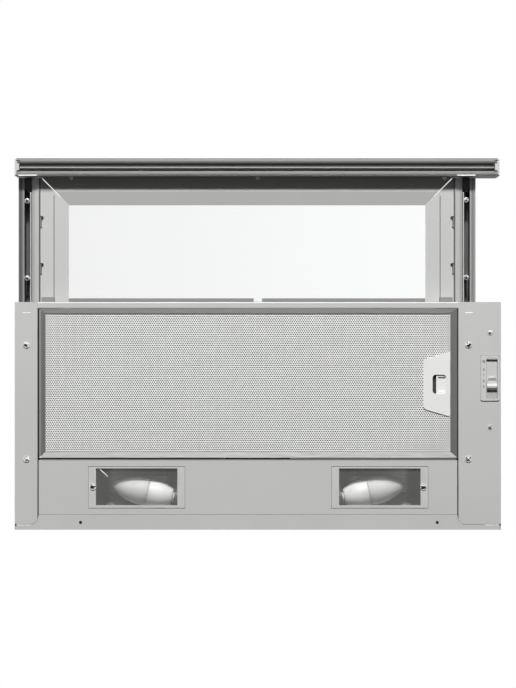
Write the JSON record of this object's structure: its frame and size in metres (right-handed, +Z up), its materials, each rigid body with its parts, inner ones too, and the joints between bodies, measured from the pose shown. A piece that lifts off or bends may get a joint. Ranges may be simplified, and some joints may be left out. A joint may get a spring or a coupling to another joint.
{
  "type": "pull out range hood",
  "caption": "Slim cabinet hood with a glass visor that draws out on rails, a grease filter, lamps, a slide switch and a blower housing with a duct collar.",
  "frame": {"origin": "on the wall plane, midway across the tray, level with the cabinet's underside", "axes": "+X right and -Y forward for someone standing in front of the hood, +Z up"},
  "size_m": [0.598, 0.4571, 0.2056],
  "materials": {
    "grey_paint": "satin grey powder coat",
    "light_paint": "satin light grey",
    "zinc_steel": "bright zinc plated",
    "bar_aluminium": "satin anodised",
    "filter_aluminium": "bright mill finish",
    "clear_glass": "clear, polished",
    "opal_glass": "frosted",
    "white_plastic": "matt white",
    "grey_plastic": "matt grey",
    "black_plastic": "matt black"
  },
  "bodies": {
    "housing": {"tray_top": "grey_paint", "side_channel_left": "grey_paint", "side_channel_right": "grey_paint", "front_crossbar": "grey_paint", "lamp_panel": "grey_paint", "lamp_cover_left": "zinc_steel", "lamp_cover_right": "zinc_steel", "lamp_lens_left": "clear_glass", "lamp_lens_right": "clear_glass", "bulb_glass_left": "opal_glass", "bulb_glass_right": "opal_glass", "bulb_base_left": "white_plastic", "bulb_base_right": "white_plastic", "lamp_trough_left": "grey_paint", "lamp_trough_right": "grey_paint", "lamp_holder_left": "white_plastic", "lamp_holder_right": "white_plastic", "switch_plate": "grey_plastic", "switch_body": "black_plastic", "fixed_rail_left": "zinc_steel", "fixed_rail_right": "zinc_steel", "blower_housing": "zinc_steel", "cabinet_bracket_left": "zinc_steel", "cabinet_bracket_right": "zinc_steel", "terminal_box": "black_plastic", "terminal_box_lid": "grey_plastic", "terminal_strip": "white_plastic", "run_capacitor": "white_plastic", "cable_gland": "black_plastic", "scroll_wall": "black_plastic", "scroll_side_left": "black_plastic", "scroll_side_right": "black_plastic", "motor": "zinc_steel", "motor_spider": "zinc_steel", "duct_collar": "black_plastic"},
    "visor": {"handle_bar": "bar_aluminium", "handle_cap_left": "grey_plastic", "handle_cap_right": "grey_plastic", "visor_frame_front": "grey_paint", "visor_frame_left": "grey_paint", "visor_frame_right": "grey_paint", "visor_rear_rail": "grey_paint", "visor_glass": "clear_glass", "moving_rail_left": "zinc_steel", "moving_rail_right": "zinc_steel"},
    "cage_left": {"ball_cage_left": "white_plastic"},
    "cage_right": {"ball_cage_right": "white_plastic"},
    "filter": {"filter_frame": "filter_aluminium", "filter_mesh_lower": "filter_aluminium", "filter_wool": "filter_aluminium", "filter_mesh_upper": "filter_aluminium", "filter_handle_plate": "light_paint", "latch_housing": "black_plastic", "latch_spring": "zinc_steel"},
    "latch": {"latch_slider": "light_paint"},
    "knob": {"switch_knob": "grey_plastic"},
    "fan": {"impeller": "grey_plastic", "motor_shaft": "zinc_steel"},
    "flap_left": {"backdraught_flap_left": "grey_plastic"},
    "flap_right": {"backdraught_flap_right": "grey_plastic"}
  },
  "joints": [
    {"name": "visor_slide", "type": "slide", "parent": "housing", "child": "visor", "axis": [0, 1, 0], "range_m": [0, 0.1548]},
    {"name": "cage_left_roll", "type": "slide", "parent": "housing", "child": "cage_left", "axis": [0, 1, 0], "range_m": [0, 0.0774]},
    {"name": "cage_right_roll", "type": "slide", "parent": "housing", "child": "cage_right", "axis": [0, 1, 0], "range_m": [0, 0.0774]},
    {"name": "filter_swing", "type": "hinge", "parent": "housing", "child": "filter", "pos_m": [-0.2692, -0.18, -0.0406], "axis": [0, 1, 0], "range_deg": [0, 45]},
    {"name": "latch_push", "type": "slide", "parent": "filter", "child": "latch", "axis": [-1, 0, 0], "range_m": [0, 0.0045], "stiffness_N_per_m": 400, "springref_m": -0.002, "deforming": ["latch_spring"]},
    {"name": "switch_slide", "type": "slide", "parent": "housing", "child": "knob", "axis": [0, -1, 0], "range_m": [0, 0.021]},
    {"name": "fan_spin", "type": "hinge", "parent": "housing", "child": "fan", "pos_m": [0, -0.15, 0.06], "axis": [1, 0, 0], "continuous": true},
    {"name": "flap_left_swing", "type": "hinge", "parent": "housing", "child": "flap_left", "pos_m": [-0.0032, -0.126, 0.1366], "axis": [0, 1, 0], "range_deg": [0, 75]},
    {"name": "flap_right_swing", "type": "hinge", "parent": "housing", "child": "flap_right", "pos_m": [0.0032, -0.126, 0.1366], "axis": [0, -1, 0], "range_deg": [0, 75]}
  ],
  "couplings": [
    {"joint": "cage_left_roll", "follows": "visor_slide", "ratio": 0.5},
    {"joint": "cage_right_roll", "follows": "visor_slide", "ratio": 0.5}
  ]
}
